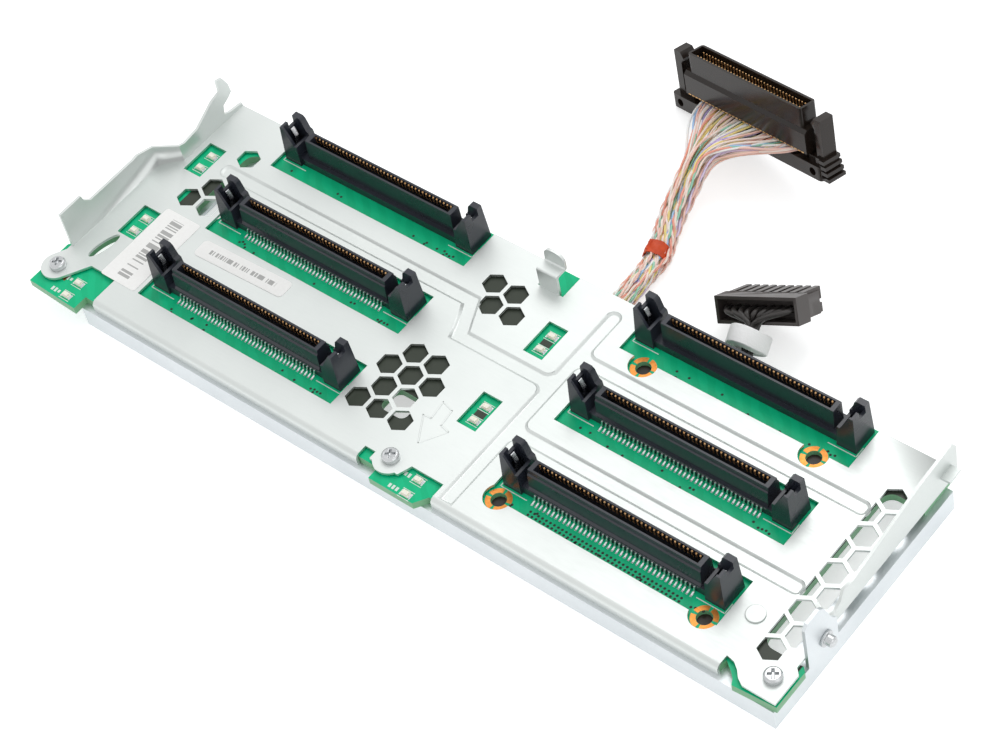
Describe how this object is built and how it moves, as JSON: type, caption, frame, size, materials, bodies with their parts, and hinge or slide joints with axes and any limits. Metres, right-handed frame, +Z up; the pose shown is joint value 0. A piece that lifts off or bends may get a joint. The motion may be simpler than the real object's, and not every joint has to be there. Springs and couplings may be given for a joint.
{
  "type": "drive backplane board",
  "caption": "Server drive backplane: green board with black hot-swap drive sockets, zinc-plated cover plate above, steel frame below, and two short cables with plugs.",
  "frame": {"origin": "centre of the base of the rigid assembly, on the table plane below the rear frame, cables left out", "axes": "+X along the long side, to the right seen from the front edge with the screws; +Y from that edge to the edge where the cables leave; +Z up, out of the drive sockets"},
  "size_m": [0.2546, 0.1608, 0.031],
  "materials": {
    "green_board": "glass-fibre board with a glossy green solder mask",
    "zinc_sheet": "zinc-plated sheet steel, satin",
    "blue_grey_sheet": "zinc-plated sheet steel, bluish and duller than the plate",
    "zinc_screws": "zinc-plated steel",
    "stud_steel": "turned steel",
    "spring_steel": "bright spring steel",
    "black_housing": "moulded black glass-filled plastic",
    "gold_contacts": "thin gold plating",
    "tinned_leads": "tinned copper alloy",
    "lamp_lens": "milky lamp package",
    "white_paper": "coated label paper",
    "white_housing": "moulded natural nylon",
    "brown_housing": "moulded warm dark plastic",
    "dark_carrier": "moulded dark plastic with a light gloss",
    "ribbon_bundle": "soft insulated wires in many pale colours",
    "black_wire": "black insulated wires",
    "orange_tape": "orange-red adhesive tape",
    "white_wrap": "white plastic wrap"
  },
  "bodies": {
    "root": {"backplane_pcb": "green_board", "board_screws": "zinc_screws", "bundle_tape": "orange_tape", "clinch_rivet": "zinc_screws", "contacts_a1": "gold_contacts", "contacts_a2": "gold_contacts", "contacts_a3": "gold_contacts", "contacts_b1": "gold_contacts", "contacts_b2": "gold_contacts", "contacts_b3": "gold_contacts", "cover_plate": "zinc_sheet", "drive_connector_a1": "black_housing", "drive_connector_a2": "black_housing", "drive_connector_a3": "black_housing", "drive_connector_b1": "black_housing", "drive_connector_b2": "black_housing", "drive_connector_b3": "black_housing", "guide_springs": "spring_steel", "guide_stud": "stud_steel", "panel_label": "white_paper", "power_board_plug": "white_housing", "power_cable": "black_wire", "power_header": "white_housing", "power_plug": "brown_housing", "power_wire_fan": "black_wire", "power_wrap": "white_wrap", "rear_bracket": "blue_grey_sheet", "signal_board_plug": "black_housing", "signal_cable": "ribbon_bundle", "signal_header": "black_housing", "signal_plug_carrier": "dark_carrier", "signal_plug_contacts": "gold_contacts", "signal_plug_shell": "dark_carrier", "signal_wire_fan": "ribbon_bundle", "solder_tails_a2": "tinned_leads", "solder_tails_a3": "tinned_leads", "solder_tails_b2": "tinned_leads", "solder_tails_b3": "tinned_leads", "status_lamps": "lamp_lens", "strip_label": "white_paper"}
  },
  "joints": []
}
